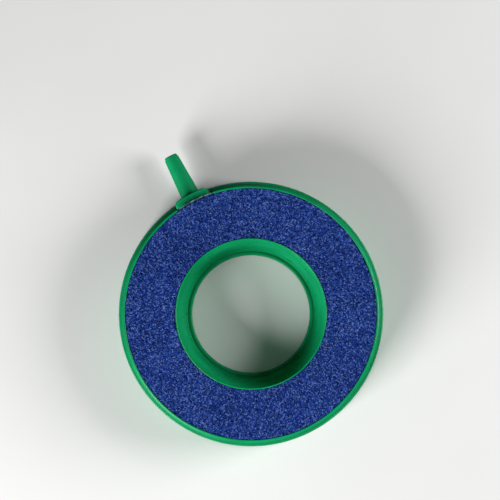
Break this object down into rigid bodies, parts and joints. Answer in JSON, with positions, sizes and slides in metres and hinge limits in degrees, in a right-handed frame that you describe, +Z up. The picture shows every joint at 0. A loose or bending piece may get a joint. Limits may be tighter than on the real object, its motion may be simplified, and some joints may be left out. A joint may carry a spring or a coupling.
{
  "type": "ring bubble diffuser",
  "caption": "Flat ring of blue porous stone in a green plastic housing with a cone-sided centre hole and a tapered hose stem on its rim; turns piped gas into fine bubbles.",
  "frame": {"origin": "middle of the footprint on the resting plane; the ring's own axis is at x = -6.4 mm, because the hose stem reaches past the ring on one side only", "axes": "+X along the hose stem, out of its tip; +Z up, out of the stone's bubbling face and parallel to the ring's axis"},
  "size_m": [0.0888, 0.076, 0.013],
  "materials": {
    "green_plastic": "satin",
    "blue_stone": "matte",
    "clear_sealant": "satin"
  },
  "bodies": {
    "root": {"upper_shell": "green_plastic", "base_plate": "green_plastic", "hose_nozzle": "green_plastic", "stone_ring": "blue_stone", "stone_outer_sealant": "clear_sealant", "stone_inner_sealant": "clear_sealant", "nozzle_sealant": "clear_sealant", "base_outer_sealant": "clear_sealant", "base_inner_sealant": "clear_sealant"}
  },
  "joints": []
}
